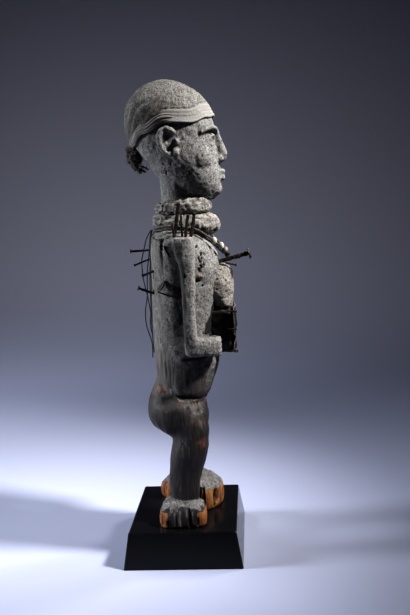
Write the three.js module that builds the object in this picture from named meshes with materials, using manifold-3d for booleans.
import * as THREE from 'three';
import { mergeVertices } from 'three/addons/utils/BufferGeometryUtils.js';
import Module from 'manifold-3d';

// A carved standing power figure with a cap, neck wraps, iron nails and a belly charge, on a plinth.
// Millimetres. +Z is up, the figure faces -Y, and +X is its left hand.
// The origin is the middle of the plinth's underside.

const wasm = await Module();
wasm.setup();

// Driving dimensions

const touchGap = 0.3;
const plinth = { height: 40.2, topDepth: 120, topWidth: 138, spread: 6.5, chamfer: 0.9 };
const capSize = { crown: 494, equator: 450, halfDepth: 49.5, halfWidth: 46, lean: 3, centre: 2.5, wall: 2.4, hem: 1.1,
  roundBack: 0.5, flatFront: 0.63, tuck: 0.33 };
const stringDiameter = 1.3;
const stringSteps = 24;
const necklaceDiameter = 2.2;

// Each section of a carved mass gives its height above the plinth (up) and how far it
// reaches back, forward and to each side. across is the middle of a mass that is off the axis.

const torsoSections = [
  { up: 133, back: 12, front: 26, half: 22 },
  { up: 140, back: 17, front: 31, half: 33 },
  { up: 148, back: 22, front: 37, half: 41 },
  { up: 158, back: 25, front: 40, half: 43 },
  { up: 168, back: 26, front: 43, half: 43.5 },
  { up: 180, back: 26.5, front: 46.5, half: 43.5 },
  { up: 196, back: 27, front: 45, half: 43 },
  { up: 216, back: 27.5, front: 43.5, half: 42 },
  { up: 240, back: 27, front: 46, half: 43 },
  { up: 265, back: 26.5, front: 50, half: 45 },
  { up: 288, back: 26, front: 53, half: 47 },
  { up: 303, back: 25.6, front: 49, half: 49 },
  { up: 314, back: 24.4, front: 41.5, half: 50 },
  { up: 322, back: 22.8, front: 35, half: 46 },
  { up: 329, back: 19.5, front: 30, half: 38 },
  { up: 336, back: 14.5, front: 26, half: 29 },
];

const neckSections = [
  { up: 326, back: 16, front: 29, half: 29 },
  { up: 340, back: 13.5, front: 27, half: 26.5 },
  { up: 356, back: 11.5, front: 27, half: 25.5 },
  { up: 372, back: 10.5, front: 30, half: 26 },
  { up: 392, back: 12, front: 34, half: 29 },
];

const headSections = [
  { up: 362, back: -12, front: 48, half: 15 },
  { up: 368, back: -4, front: 54, half: 22.5 },
  { up: 377, back: 3, front: 57, half: 29 },
  { up: 388, back: 12, front: 57.5, half: 34 },
  { up: 400, back: 21, front: 56, half: 38.5 },
  { up: 414, back: 31, front: 54.5, half: 41 },
  { up: 428, back: 39, front: 52.5, half: 42 },
  { up: 441, back: 43, front: 53, half: 42.3 },
  { up: 452, back: 43.5, front: 49.5, half: 41.5 },
  { up: 464, back: 41, front: 44, half: 38.5 },
  { up: 476, back: 34, front: 35.5, half: 32 },
  { up: 485, back: 22, front: 24, half: 21 },
  { up: 489, back: 10, front: 12, half: 10 },
];

const hipSections = [
  { up: 94, back: 9, front: 27, half: 36 },
  { up: 103, back: 22.5, front: 30, half: 46 },
  { up: 111, back: 32.5, front: 30.5, half: 50 },
  { up: 118, back: 37, front: 30, half: 51.5 },
  { up: 126, back: 38, front: 29, half: 52 },
  { up: 135, back: 37, front: 27, half: 52 },
  { up: 141, back: 35.5, front: 25, half: 51 },
  { up: 145, back: 34, front: 18, half: 50 },
  { up: 152, back: 31, front: 2, half: 47.5 },
  { up: 160, back: 26.5, front: -9, half: 43 },
  { up: 165, back: 22, front: -15, half: 38 },
];

const legSections = [
  { up: 14, back: 13.5, front: 17.5, across: 36, half: 14.5 },
  { up: 31, back: 14.5, front: 19, across: 34.5, half: 15 },
  { up: 49, back: 15, front: 20.5, across: 33.5, half: 16 },
  { up: 61, back: 14.3, front: 24, across: 32.5, half: 17.5 },
  { up: 73, back: 13, front: 28.5, across: 31.5, half: 19 },
  { up: 85, back: 11, front: 32, across: 30.5, half: 21 },
  { up: 94, back: 9, front: 31, across: 29.5, half: 22 },
  { up: 103, back: 10, front: 33, across: 28.5, half: 23 },
  { up: 116, back: 16, front: 30.5, across: 27.5, half: 23.5 },
  { up: 127, back: 18, front: 27.5, across: 26.5, half: 22.5 },
];

const upperArmSections = [
  { up: 197, back: -17, front: 28, across: 52.5, half: 8 },
  { up: 206, back: -12, front: 29, across: 54, half: 9.5 },
  { up: 218, back: -12, front: 26, across: 55, half: 9.5 },
  { up: 242, back: -12, front: 25.5, across: 55.5, half: 9.5 },
  { up: 268, back: -12, front: 26.5, across: 55.5, half: 9.5 },
  { up: 292, back: -11, front: 27.5, across: 55, half: 10 },
  { up: 307, back: -7, front: 28, across: 53.5, half: 11 },
  { up: 318, back: -4, front: 27.5, across: 52, half: 11.5 },
  { up: 323.5, back: -4.5, front: 26, across: 51.5, half: 11 },
];

// The forearm's sections stand upright across its length, from the elbow forward to the hand.
const forearmSections = [
  { ahead: 12.5, across: 54, half: 7.5, middle: 205, tall: 7.5 },
  { ahead: 18, across: 54, half: 9.5, middle: 204, tall: 10 },
  { ahead: 28, across: 51.5, half: 10, middle: 204, tall: 10.2 },
  { ahead: 38, across: 46.5, half: 10.5, middle: 204.3, tall: 10.6 },
  { ahead: 46, across: 41, half: 11, middle: 203, tall: 11.2 },
  { ahead: 51.5, across: 38, half: 9.5, middle: 202.2, tall: 10.2 },
];

// Plan outlines of the two feet, as [across, ahead], and how each one narrows with height.
const rightFoot = {
  outline: [[-38, -27.5], [-55, -23.5], [-59, 0], [-54, 23], [-38, 26.5], [-23, 22], [-20, 0], [-24, -23]],
  levels: [{ up: 0.3, share: 1 }, { up: 11, share: 1 }, { up: 18, share: 0.94 }, { up: 24, share: 0.8 },
    { up: 28, share: 0.58 }],
  toeFall: 0.05,
  heelFall: 0,
};
const leftFoot = {
  outline: [[41, -35], [27, -27], [11, -3], [-12, 22], [-5, 33], [13, 43], [36, 42], [51, 30], [56, 0], [53, -27]],
  levels: [{ up: 0.3, share: 0.97 }, { up: 8, share: 1 }, { up: 24, share: 0.98 }, { up: 31, share: 0.9 },
    { up: 34, share: 0.7 }],
  toeFall: 0.3,
  heelFall: 0.55,
};
const leftFootDecay = [
  { middle: [-8, 21.5, 13], reach: [7, 3.4, 18] },
  { middle: [-3, 40, 17], reach: [7, 3.2, 10] },
];

// The top of a foot is level between these two places and falls away in front and behind.
const instep = { front: 12, back: -8 };

// Geometry helpers

const place = (across, ahead, up) => new THREE.Vector3(across, -ahead, plinth.height + up);

function toSolid(geometry) {
  const bare = geometry.clone();
  bare.deleteAttribute('normal');
  bare.deleteAttribute('uv');
  const merged = mergeVertices(bare, 1e-4);
  return new wasm.Manifold(new wasm.Mesh({
    numProp: 3,
    vertProperties: new Float32Array(merged.attributes.position.array),
    triVerts: new Uint32Array(merged.index.array),
  }));
}

function toGeometry(solid) {
  const { vertProperties, triVerts } = solid.getMesh();
  const geometry = new THREE.BufferGeometry();
  geometry.setAttribute('position', new THREE.BufferAttribute(new Float32Array(vertProperties), 3));
  geometry.setIndex(new THREE.BufferAttribute(new Uint32Array(triVerts), 1));
  geometry.computeVertexNormals();
  return geometry;
}

function unite(solids) {
  return solids.reduce((whole, next) => whole.add(next));
}

function without(solid, cutters) {
  return cutters.reduce((rest, cutter) => rest.subtract(cutter), solid);
}

// A closed skin through rings of points, with a fan over each end ring.
function skin(rings) {
  const sides = rings[0].length;
  const points = rings.flat();
  const middle = (ring) => ring.reduce((sum, p) => sum.add(p), new THREE.Vector3()).divideScalar(sides);
  const first = points.push(middle(rings[0])) - 1;
  const last = points.push(middle(rings[rings.length - 1])) - 1;
  const faces = [];
  for (let side = 0; side < sides; side += 1) {
    const next = (side + 1) % sides;
    for (let level = 0; level + 1 < rings.length; level += 1) {
      const low = level * sides;
      const high = low + sides;
      faces.push(low + side, low + next, high + next, low + side, high + next, high + side);
    }
    const top = (rings.length - 1) * sides;
    faces.push(first, next, side, last, top + side, top + next);
  }
  const geometry = new THREE.BufferGeometry().setFromPoints(points);
  geometry.setIndex(faces);
  return geometry;
}

// One point of a rounded outline: corner 2 is an ellipse, and larger values are squarer.
function rounded(angle, corner) {
  const shape = (value) => Math.sign(value) * Math.abs(value) ** (2 / corner);
  return [shape(Math.cos(angle)), shape(Math.sin(angle))];
}

function around(sides, makePoint) {
  return Array.from({ length: sides }, (_, k) => makePoint((k / sides) * Math.PI * 2));
}

// A mass lofted up through its sections. side is -1 for the right and 1 for the left.
function column(sections, { sides = 20, corner = 2.4, side = 1, shift = 0, gap = 0 } = {}) {
  const rings = sections.map(({ up, back, front, half, across = 0 }, level) => {
    const lift = level === 0 ? -gap : level === sections.length - 1 ? gap : 0;
    return around(sides, (angle) => {
      const [x, y] = rounded(angle, corner);
      const ahead = (front - back) / 2 - y * ((front + back) / 2 + gap) + shift;
      return place(side * across + x * (half + gap), ahead, up + lift);
    });
  });
  return toSolid(skin(rings));
}

function forearm(side, gap) {
  const rings = forearmSections.map(({ ahead, across, half, middle, tall }, level) => {
    const push = level === 0 ? -gap : level === forearmSections.length - 1 ? gap : 0;
    return around(12, (angle) => {
      const [x, z] = rounded(angle, 3);
      return place(side * across + x * (half + gap), ahead + push, middle + z * (tall + gap));
    });
  });
  return toSolid(skin(rings));
}

function foot({ outline, levels, toeFall, heelFall }, gap) {
  const plan = new THREE.CatmullRomCurve3(outline.map(([x, y]) => new THREE.Vector3(x, y, 0)), true);
  const rim = plan.getPoints(18).slice(0, -1);
  const middle = rim.reduce((sum, p) => sum.add(p), new THREE.Vector3()).divideScalar(rim.length);
  const top = levels[levels.length - 1].up;
  const rings = levels.map(({ up, share }) => rim.map((p) => {
    const out = p.clone().sub(middle);
    out.multiplyScalar(share + gap / out.length());
    const ahead = middle.y + out.y;
    const drop = toeFall * Math.max(0, ahead - instep.front) + heelFall * Math.max(0, instep.back - ahead);
    return place(middle.x + out.x, ahead, up - drop * (up / top) + (up > 1 ? gap : 0));
  }));
  return toSolid(skin(rings));
}

function blob([across, ahead, up], [wide, deep, tall], { tilt = 0, turn = 0, gap = 0, sides = 8 } = {}) {
  const geometry = new THREE.SphereGeometry(1, sides, Math.round(sides * 0.6));
  geometry.rotateX(Math.PI / 2);
  geometry.scale(wide + gap, deep + gap, tall + gap);
  geometry.rotateX(THREE.MathUtils.degToRad(tilt));
  geometry.rotateZ(THREE.MathUtils.degToRad(turn));
  const at = place(across, ahead, up);
  geometry.translate(at.x, at.y, at.z);
  return toSolid(geometry);
}

// A round bar along a curve, straight or bent.
function bar(points, diameter, steps, sides = 8, closed = false) {
  const section = new THREE.Shape();
  section.setFromPoints(around(sides, (angle) => new THREE.Vector2(Math.cos(angle), Math.sin(angle))
    .multiplyScalar(diameter / 2)));
  const path = new THREE.CatmullRomCurve3(points, closed, 'centripetal');
  return new THREE.ExtrudeGeometry(section, { steps, bevelEnabled: false, extrudePath: path });
}

// The carved wood

const faceMasses = [
  { at: [0, 53, 437], reach: [24, 4.2, 4], tilt: 0 },
  { at: [0, 56, 415], reach: [6.5, 7.5, 15.5], tilt: -12 },
  { at: [0, 56, 389.5], reach: [12.5, 5, 5.5], tilt: 0 },
];
const eye = { at: [17.5, 47.5, 427], reach: [8.5, 4.5, 5], turn: 14 };
const ear = { at: [43, 5, 424], reach: [5, 11, 15.5], lean: -14 };

function head(gap) {
  const sides = [-1, 1];
  const skull = column(headSections, { corner: 2.2, gap });
  const features = faceMasses.map(({ at, reach, tilt }) => blob(at, reach, { tilt, gap }));
  const eyes = sides.map((side) => blob([side * eye.at[0], eye.at[1], eye.at[2]], eye.reach,
    { turn: side * eye.turn, gap }));
  const ears = sides.map((side) => blob([side * ear.at[0], ear.at[1], ear.at[2]], ear.reach,
    { tilt: ear.lean, gap }));
  return unite([skull, ...features, ...eyes, ...ears]);
}

function limbs(side, gap) {
  const shift = side > 0 ? -3 : 0;
  const leg = column(legSections, { sides: 14, corner: 2.3, side, shift, gap });
  const upperArm = column(upperArmSections, { sides: 12, corner: 3, side, gap });
  return unite([leg, upperArm, forearm(side, gap)]);
}

// The whole carving. With a gap it is swollen by that much, to cut room for what it carries.
function carving(gap) {
  const body = unite([
    column(torsoSections, { gap }),
    column(neckSections, { sides: 14, corner: 2.1, gap }),
    column(hipSections, { corner: 2.7, gap }),
  ]);
  const feet = unite([foot(rightFoot, gap), foot(leftFoot, gap)]);
  return unite([body, head(gap), limbs(-1, gap), limbs(1, gap), feet]);
}

// The cap: a thin dome with a rolled hem that dips over the ears and drops to the nape

const brimHeights = [453, 449.5, 443, 444, 435, 424, 418];

function brimAt(angle) {
  const turn = Math.abs(Math.atan2(Math.sin(angle), Math.cos(angle))) / Math.PI;
  const [low, high] = [0, 1].map((offset) => {
    const index = Math.floor(turn * (brimHeights.length - 1)) + offset;
    return brimHeights[Math.min(index, brimHeights.length - 1)];
  });
  const share = (turn * (brimHeights.length - 1)) % 1;
  return low + (high - low) * (1 - Math.cos(share * Math.PI)) / 2;
}

// A point of the cap's outside, pushed out by lift. Angle 0 is the forehead.
function onCap(angle, up, lift) {
  const { crown, equator, halfDepth, halfWidth, lean, centre, roundBack, flatFront, tuck } = capSize;
  const rise = (up - equator) / (crown - equator);
  const slope = roundBack + (flatFront - roundBack) * (1 + Math.cos(angle)) / 2;
  const belly = rise > 0 ? Math.max(0, 1 - rise * rise) ** slope : 1 - tuck * rise * rise;
  const ahead = centre - lean * rise + Math.cos(angle) * (halfDepth * belly + lift);
  return place(Math.sin(angle) * (halfWidth * belly + lift), ahead, up);
}

function dome(lift, drop) {
  const sides = 24;
  const levels = 7;
  const top = capSize.crown + lift;
  const rings = Array.from({ length: levels }, (_, level) => around(sides, (angle) => {
    const brim = brimAt(angle) - drop;
    const climb = Math.sin((level / (levels - 0.6)) * (Math.PI / 2));
    const up = brim + (capSize.crown - brim) * climb;
    const hem = lift > -1 ? capSize.hem * Math.exp(-(((up - brim) / 4) ** 2)) : 0;
    const point = onCap(angle, up, lift + hem);
    return point.setZ(point.z + lift * climb);
  }));
  const cap = skin(rings);
  const peak = cap.attributes.position;
  peak.setXYZ(peak.count - 1, 0, -capSize.centre + capSize.lean, plinth.height + top);
  return toSolid(cap);
}

function capShell(gap) {
  return dome(gap, gap).subtract(dome(-capSize.wall - gap, gap + 4));
}

// The strands that tie the cap, lying on it from the temple to the nape
function capTie(side) {
  const strand = { wide: 3.6, thick: 1.3, start: 0.49, end: 0.9, steps: 9 };
  const rings = Array.from({ length: strand.steps + 1 }, (_, step) => {
    const t = step / strand.steps;
    const angle = side * Math.PI * (strand.start + (strand.end - strand.start) * t);
    const up = brimAt(angle) + 5.5 - 2 * t;
    const taper = 0.55 + 0.45 * Math.sin(Math.PI * Math.min(1, t + 0.25));
    return around(8, (turn) => onCap(angle, up + strand.wide * taper * Math.cos(turn),
      touchGap + capSize.hem + strand.thick + strand.thick * taper * Math.sin(turn)));
  });
  return toSolid(skin(side < 0 ? rings.map((ring) => [...ring].reverse()) : rings));
}

function napeKnot(gap) {
  return unite([
    blob([0, -37.5, 413], [12, 7.5, 9.5], { gap }),
    blob([-6, -28.5, 402], [6, 4.5, 9], { tilt: -24, gap, sides: 7 }),
    blob([5, -35, 405], [5, 4.5, 8], { tilt: -12, gap, sides: 7 }),
  ]);
}

// The wraps: rolls around the neck, thicker in front

function roll({ front, back, side, frontUp, backUp, tallFront, tallBack, thickFront, thickBack }, gap) {
  const sides = 18;
  const section = 7;
  const rings = around(sides, (angle) => {
    const ahead = (1 + Math.cos(angle)) / 2;
    const mix = (near, far) => near * ahead + far * (1 - ahead);
    const thick = mix(thickFront, thickBack);
    const depth = (front + back) / 2 - thick;
    const middle = (front - back) / 2;
    return around(section, (turn) => {
      const out = Math.cos(turn) * (thick + gap);
      return place(Math.sin(angle) * (side - thick + out), middle + Math.cos(angle) * (depth + out),
        mix(frontUp, backUp) + Math.sin(turn) * (mix(tallFront, tallBack) + gap));
    });
  });
  const points = rings.flat();
  const faces = [];
  for (let ring = 0; ring < sides; ring += 1) {
    for (let k = 0; k < section; k += 1) {
      const [a, b] = [k, (k + 1) % section].map((index) => ring * section + index);
      const [d, c] = [k, (k + 1) % section].map((index) => ((ring + 1) % sides) * section + index);
      faces.push(a, c, b, a, d, c);
    }
  }
  const geometry = new THREE.BufferGeometry().setFromPoints(points);
  geometry.setIndex(faces);
  return toSolid(geometry);
}

const neckRoll = { front: 45.5, back: 18, side: 34, frontUp: 357, backUp: 353.5,
  tallFront: 9.5, tallBack: 6.5, thickFront: 9.5, thickBack: 5 };
const throatRoll = { front: 53.5, back: 22.5, side: 37, frontUp: 334.5, backUp: 341,
  tallFront: 12, tallBack: 7, thickFront: 12.5, thickBack: 6 };

// The charge on the belly: a box of resin with a nailed cover, under a lump of resin

const box = { half: 25, low: 191, high: 240, back: 20, front: 64 };
const cover = { half: 27.4, low: 190.5, high: 242, thick: 2.2 };

function block(half, back, front, low, high) {
  const geometry = new THREE.BoxGeometry(half * 2, front - back, high - low);
  const at = place(0, (front + back) / 2, (high + low) / 2);
  geometry.translate(at.x, at.y, at.z);
  return toSolid(geometry);
}

function chargeBox(gap) {
  return block(box.half + gap, box.back, box.front + gap, box.low - gap, box.high + gap);
}

function boxCover() {
  return block(cover.half, box.front + touchGap, box.front + touchGap + cover.thick, cover.low, cover.high);
}

function resinLump(gap) {
  return unite([
    blob([0, 50, 264], [27, 17, 27], { gap, sides: 12 }),
    blob([0, 58, 280], [20, 11.5, 10], { gap }),
    blob([0, 55, 249], [25, 10.5, 14], { gap }),
  ]);
}

// Nails, each driven from its head towards its root in the wood

const backNails = [
  { head: [-10, -48, 308.2], root: [-10, -25.5, 308.8], shaft: 2, cap: 5.2 },
  { head: [-18, -43.4, 292.7], root: [-18, -21.6, 300.3], shaft: 1.7, cap: 3.6 },
  { head: [-26, -39.2, 268.3], root: [-26, -18.4, 260.8], shaft: 2.2, cap: 6.2 },
];
const shoulderNails = [
  { head: [-52, 13.2, 359.7], root: [-52, 6.5, 323.2], shaft: 3.7, cap: 5.4 },
  { head: [-54, 22.8, 347.3], root: [-54, 19.2, 324.9], shaft: 2.8, cap: 5.6 },
  { head: [-49, 28.9, 348.5], root: [-50, 24.2, 323.3], shaft: 3, cap: 4.8 },
  { head: [-58, 5.8, 338.2], root: [-58, 8.1, 323.5], shaft: 2.2, cap: 3 },
  { head: [-46, 14.8, 350.1], root: [-46, 14.7, 325.7], shaft: 2, cap: 2.8 },
];
const chestNail = { head: [-10, 86.6, 301.3], root: [-8, 54.3, 293.4], shaft: 3.8, cap: 12.6 };
const lumpNail = { head: [6, 70.6, 286.5], root: [6, 64.5, 288], shaft: 1.8, cap: 4.6 };
const boxNails = [
  { head: [-26.5, 69.3, 238], root: [-26.5, 58, 238.4], shaft: 1.5, cap: 3.4 },
  { head: [-26.5, 68.6, 218.2], root: [-26.5, 58, 218.5], shaft: 1.5, cap: 3.2 },
  { head: [-26.5, 69, 193.4], root: [-26.5, 58, 193.5], shaft: 1.5, cap: 4 },
];

function nail({ head: headAt, root, shaft, cap: capDiameter }, { bury = 8, sides = 7 } = {}) {
  const top = place(...headAt);
  const entry = place(...root);
  const length = top.distanceTo(entry) + bury;
  const radius = shaft / 2;
  const headRadius = capDiameter / 2;
  const headThick = Math.max(0.8, capDiameter * 0.13);
  const profile = [
    [0, 0], [radius * 0.45, 0.6], [radius, Math.min(5, bury * 0.6)], [radius, length - headThick * 1.6],
    [headRadius, length - headThick], [headRadius * 0.92, length - headThick * 0.2], [0, length],
  ].map(([r, along]) => new THREE.Vector2(r, along));
  const geometry = new THREE.LatheGeometry(profile, sides);
  const direction = top.clone().sub(entry).normalize();
  geometry.applyQuaternion(new THREE.Quaternion().setFromUnitVectors(new THREE.Vector3(0, 1, 0), direction));
  const tip = top.clone().addScaledVector(direction, -length);
  geometry.translate(tip.x, tip.y, tip.z);
  return toSolid(geometry);
}

// The straight hole that a nail sits in, with air around it
function nailHole({ head: headAt, root, shaft }, bury = 8) {
  const entry = place(...root);
  const direction = place(...headAt).sub(entry).normalize();
  const reach = { out: Math.min(10, entry.distanceTo(place(...headAt)) * 0.85), air: 0.6 };
  const length = reach.out + bury + reach.air;
  const radius = (shaft / 2 + touchGap) * 1.12;
  const hole = new THREE.CylinderGeometry(radius, radius, length, 6);
  hole.applyQuaternion(new THREE.Quaternion().setFromUnitVectors(new THREE.Vector3(0, 1, 0), direction));
  const middle = entry.addScaledVector(direction, reach.out - length / 2);
  hole.translate(middle.x, middle.y, middle.z);
  return toSolid(hole);
}

// One back nail is hammered over: it comes out, turns down and goes in again.
const bentNail = {
  route: [[-28, -33.6, 281.7], [-28, -25, 284.8], [-28, -18, 287.4], [-28.5, -15.6, 286.6], [-28.5, -14, 282.5],
    [-27.5, -11.5, 278]],
  shaft: 1.8,
  cap: 4.4,
};

function hammeredNail(gap) {
  const route = bentNail.route.map((point) => place(...point));
  const shaft = toSolid(bar(route, bentNail.shaft + gap * 2, 9));
  const away = route[0].clone().sub(route[1]).normalize();
  const disc = new THREE.CylinderGeometry(bentNail.cap / 2 + gap, bentNail.cap / 2 + gap, 1, 8);
  disc.applyQuaternion(new THREE.Quaternion().setFromUnitVectors(new THREE.Vector3(0, 1, 0), away));
  disc.translate(route[0].x, route[0].y, route[0].z);
  return shaft.add(toSolid(disc));
}

// Flat iron and wood slivers driven edge on into the flank
const blades = [
  { name: 'flank_blade_upper', middle: [-45.5, -3.5, 308.5], size: [10, 1.6, 13], tilt: -22, turn: 22 },
  { name: 'flank_blade_lower', middle: [-44, -10, 272], size: [11, 1.8, 13], tilt: 40, turn: 38 },
  { name: 'flank_peg', middle: [-43.5, -10, 263], size: [9, 1.4, 12], tilt: -64, turn: 14 },
  { name: 'shoulder_splinter', middle: [-41, -15, 322], size: [8, 1.5, 9], tilt: -54, turn: 25 },
];

function blade({ middle, size, tilt, turn }, gap) {
  const [long, thick, tall] = size;
  const geometry = new THREE.BoxGeometry(long + gap * 2, thick + gap * 2, tall + gap * 2);
  geometry.rotateX(THREE.MathUtils.degToRad(tilt));
  geometry.rotateZ(THREE.MathUtils.degToRad(turn));
  const at = place(...middle);
  geometry.translate(at.x, at.y, at.z);
  return toSolid(geometry);
}

// The necklace: two cords round the foot of the neck, with shells and a pendant in front

const necklaceRoutes = {
  lower: [[0, -21, 329.2], [-15, -20, 329.6], [-28, -15, 330.6], [-37.5, -2, 332], [-39, 14, 331], [-34, 28, 327.5],
    [-27, 38.5, 320], [-17, 48, 311.5], [-7, 54.5, 304], [0, 56.5, 301.5]],
  upper: [[0, -20.4, 332.4], [-15, -19.4, 332.8], [-28.6, -14, 333.8], [-39, -1, 335.5], [-40.4, 15.6, 334],
    [-35.4, 29.6, 330.5], [-28.4, 40.1, 323], [-18.4, 49.6, 314.5], [-8.4, 56.1, 307], [0, 58.1, 304.5]],
};
const shells = [
  { at: [-23.8, 47.6, 317], reach: [3.4, 3.2, 4.2], turn: 30 },
  { at: [-15.6, 54.9, 310.6], reach: [3.6, 3.2, 4.2], turn: 20 },
  { at: [-7, 59, 305.4], reach: [3.4, 3, 4], turn: 8 },
];
const pendant = { at: [2, 60.4, 301], reach: [4, 3.2, 5.6] };

// A cord's route runs from the nape round the right side to the chest, and the left side mirrors it.
function necklaceCord(near, gap = 0) {
  const far = near.slice(1, -1).reverse().map(([x, y, z]) => [-x, y, z]);
  const ring = [...near, ...far].map((point) => place(...point));
  return toSolid(bar(ring, necklaceDiameter + 2 * gap, 26, 8, true));
}

// Strings that hang free down the back, hooked behind the nails

const stringRoutes = [
  [[-9, -23.2, 331.2], [-10.2, -24.9, 328.3], [-11.6, -27, 324.8], [-12.8, -29.2, 319.8], [-13.2, -30.9, 313.7],
    [-13.3, -32.9, 306.6], [-13.3, -34.9, 298.8], [-13.2, -35.4, 292.1], [-13, -35.1, 284.7], [-12.7, -34.6, 276.7],
    [-12.3, -33.4, 268.7], [-12, -31.7, 260.6], [-12, -30.4, 252.6], [-12, -29.2, 243.9], [-12, -28.6, 236.5],
    [-12.2, -28.9, 229.6], [-12.4, -29.2, 222.7], [-12.4, -29.1, 217]],
  [[-5, -23.2, 330.8], [-5.6, -24.3, 327.2], [-6.1, -25.2, 322.8], [-6.4, -26.1, 316.5], [-6.5, -26.9, 308.6],
    [-6.5, -27.9, 300.8], [-6.5, -29.1, 294], [-6.5, -30.3, 286.1], [-6.5, -31, 277], [-6.6, -31.4, 269.1],
    [-6.8, -31.7, 261.1], [-7.2, -32.4, 254.3], [-7.6, -33.9, 246.9], [-8, -35.1, 238.4], [-8.2, -35.3, 229.8],
    [-8.4, -34.4, 221.7], [-8.6, -32.3, 213.5], [-8.8, -30.1, 206.4], [-9, -29.2, 198.9], [-9, -29.6, 185.5]],
  [[-26.2, -18, 328.4], [-24, -20.6, 325.2], [-22.2, -22.6, 320.8], [-21.5, -23.6, 315], [-21.5, -24.2, 307.3],
    [-21.5, -24.4, 298.4], [-21.4, -24.5, 289.5], [-21, -24.6, 280.6], [-20.5, -24.9, 271.5], [-19.8, -25.4, 262.5],
    [-19.2, -26.1, 253.4], [-18.6, -26.5, 244.3], [-18, -26.6, 235], [-17.5, -27, 227], [-17, -27.2, 218.9],
    [-16.5, -27.2, 210.7], [-16, -27, 201.3], [-15.8, -26.8, 192.6]],
  [[1, -23.2, 330.8], [0.8, -24.2, 327], [0.4, -25.3, 322], [0, -26.1, 316], [0, -26.8, 308.2], [0, -27.6, 294.5],
    [0, -28.6, 279.7], [0, -29.3, 267.1], [-0.2, -29.4, 254.4], [-0.5, -29.5, 244], [-0.8, -30.2, 234.8],
    [-1.2, -31.2, 224.4], [-1.6, -30.5, 216.2], [-2, -29.2, 208.1]],
];

function backString(route) {
  return toSolid(bar(route.map((point) => place(...point)), stringDiameter, stringSteps));
}

// The plinth: a low block whose sides spread towards the ground

function plinthBlock() {
  const { height, topDepth, topWidth, spread, chamfer } = plinth;
  const level = (z, inset) => {
    const flare = spread * (1 - z / height) - inset;
    const [x, y] = [topWidth / 2 + flare, topDepth / 2 + flare];
    const cut = chamfer;
    return [[x, -y + cut], [x, y - cut], [x - cut, y], [cut - x, y], [-x, y - cut], [-x, cut - y],
      [cut - x, -y], [x - cut, -y]].map(([px, py]) => new THREE.Vector3(px, py, z));
  };
  return toSolid(skin([level(0, chamfer / 2), level(chamfer / 2, 0), level(height - chamfer, 0),
    level(height, chamfer)]));
}

// Materials

const paint = (color, roughness, metalness = 0) => new THREE.MeshStandardMaterial({ color, roughness, metalness });
const looks = {
  wood: paint(0x6b6259, 0.85),
  cloth: paint(0x8c8378, 0.95),
  fibre: paint(0x8f867b, 0.95),
  resin: paint(0x57504a, 0.9),
  hide: paint(0x2a2422, 0.8),
  cord: paint(0x3a3538, 0.85),
  string: paint(0x23232c, 0.7),
  shell: paint(0xcfc8bd, 0.5),
  iron: paint(0x2e2623, 0.7, 0.6),
  lacquer: paint(0x08080a, 0.18),
};

const figure = new THREE.Group();

function addPiece(name, solid, look) {
  const mesh = new THREE.Mesh(toGeometry(solid), looks[look]);
  mesh.name = name;
  figure.add(mesh);
}

// Assembly

const room = carving(touchGap);
const neckWrap = roll(neckRoll, 0).subtract(room);
const throatWrap = without(roll(throatRoll, 0), [room, roll(neckRoll, touchGap)]);
const wrapRoom = unite([roll(neckRoll, touchGap), roll(throatRoll, touchGap)]);
const lump = without(resinLump(0), [room, chargeBox(touchGap)]);
const lumpRoom = resinLump(touchGap);
const knot = without(napeKnot(0), [room, capShell(touchGap)]);

const woodNails = [
  ...backNails.map((spec, index) => ({ name: `back_nail_${index + 1}`, spec, bury: 8, sides: 7 })),
  ...shoulderNails.map((spec, index) => ({ name: `shoulder_nail_${index + 1}`, spec, bury: 9, sides: 7 })),
  { name: 'chest_nail', spec: chestNail, bury: 14, sides: 12 },
];
const nailHoles = woodNails.map(({ spec, bury }) => nailHole(spec, bury));
const bladeSlots = blades.map((spec) => blade(spec, touchGap));
const chestNailHole = nailHole(chestNail, 14);
const lumpNailHole = nailHole(lumpNail, 7);
const boxNailHoles = boxNails.map((spec) => nailHole(spec, 6));

const decay = leftFootDecay.map(({ middle, reach }) => blob(middle, reach));
const wood = without(carving(0), [capShell(touchGap), hammeredNail(touchGap), ...nailHoles, ...bladeSlots, ...decay]);

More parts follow.
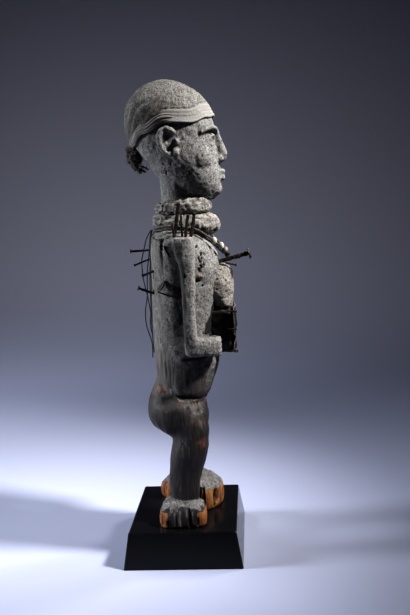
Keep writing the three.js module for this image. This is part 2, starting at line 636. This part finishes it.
addPiece('plinth', plinthBlock(), 'lacquer');
addPiece('figure', wood, 'wood');
addPiece('cap', capShell(0), 'cloth');
[['right', -1], ['left', 1]].forEach(([name, side]) => {
  addPiece(`cap_tie_${name}`, without(capTie(side), [napeKnot(touchGap), room]), 'fibre');
});
addPiece('nape_knot', knot, 'fibre');
addPiece('neck_wrap', without(neckWrap, nailHoles), 'fibre');
addPiece('throat_wrap', without(throatWrap, nailHoles), 'fibre');

const cordRoom = [room, wrapRoom, lumpRoom, chestNailHole,
  ...Object.values(necklaceRoutes).map((route) => necklaceCord(route, touchGap * 1.5))];
const shellSolids = shells.map(({ at, reach, turn }) => blob(at, reach, { turn }));
const shellRoom = shells.map(({ at, reach, turn }) => blob(at, reach, { turn, gap: touchGap }));
const pendantRoom = blob(pendant.at, pendant.reach, { gap: touchGap });
Object.entries(necklaceRoutes).forEach(([name, route]) => {
  addPiece(`necklace_cord_${name}`, without(necklaceCord(route), [room, wrapRoom]), 'cord');
});
shellSolids.forEach((solid, index) => {
  const later = [...shellRoom.slice(index + 1), pendantRoom];
  addPiece(`shell_${index + 1}`, without(solid, [...cordRoom, ...later]), 'shell');
});
addPiece('pendant', without(blob(pendant.at, pendant.reach), cordRoom), 'hide');

addPiece('chest_charge', without(lump, [chestNailHole, lumpNailHole]), 'resin');
addPiece('belly_box', without(chargeBox(0), [room, ...boxNailHoles]), 'resin');
addPiece('box_cover', without(boxCover(), [...boxNailHoles, lumpRoom]), 'hide');

woodNails.forEach(({ name, spec, bury, sides }) => addPiece(name, nail(spec, { bury, sides }), 'iron'));
addPiece('back_nail_4', hammeredNail(0), 'iron');
addPiece('charge_nail', nail(lumpNail, { bury: 7 }), 'iron');
boxNails.forEach((spec, index) => addPiece(`box_nail_${index + 1}`, nail(spec, { bury: 6 }), 'iron'));
blades.forEach((spec) => addPiece(spec.name, blade(spec, 0), 'iron'));
stringRoutes.forEach((route, index) => addPiece(`back_string_${index + 1}`, backString(route), 'string'));

export default figure;
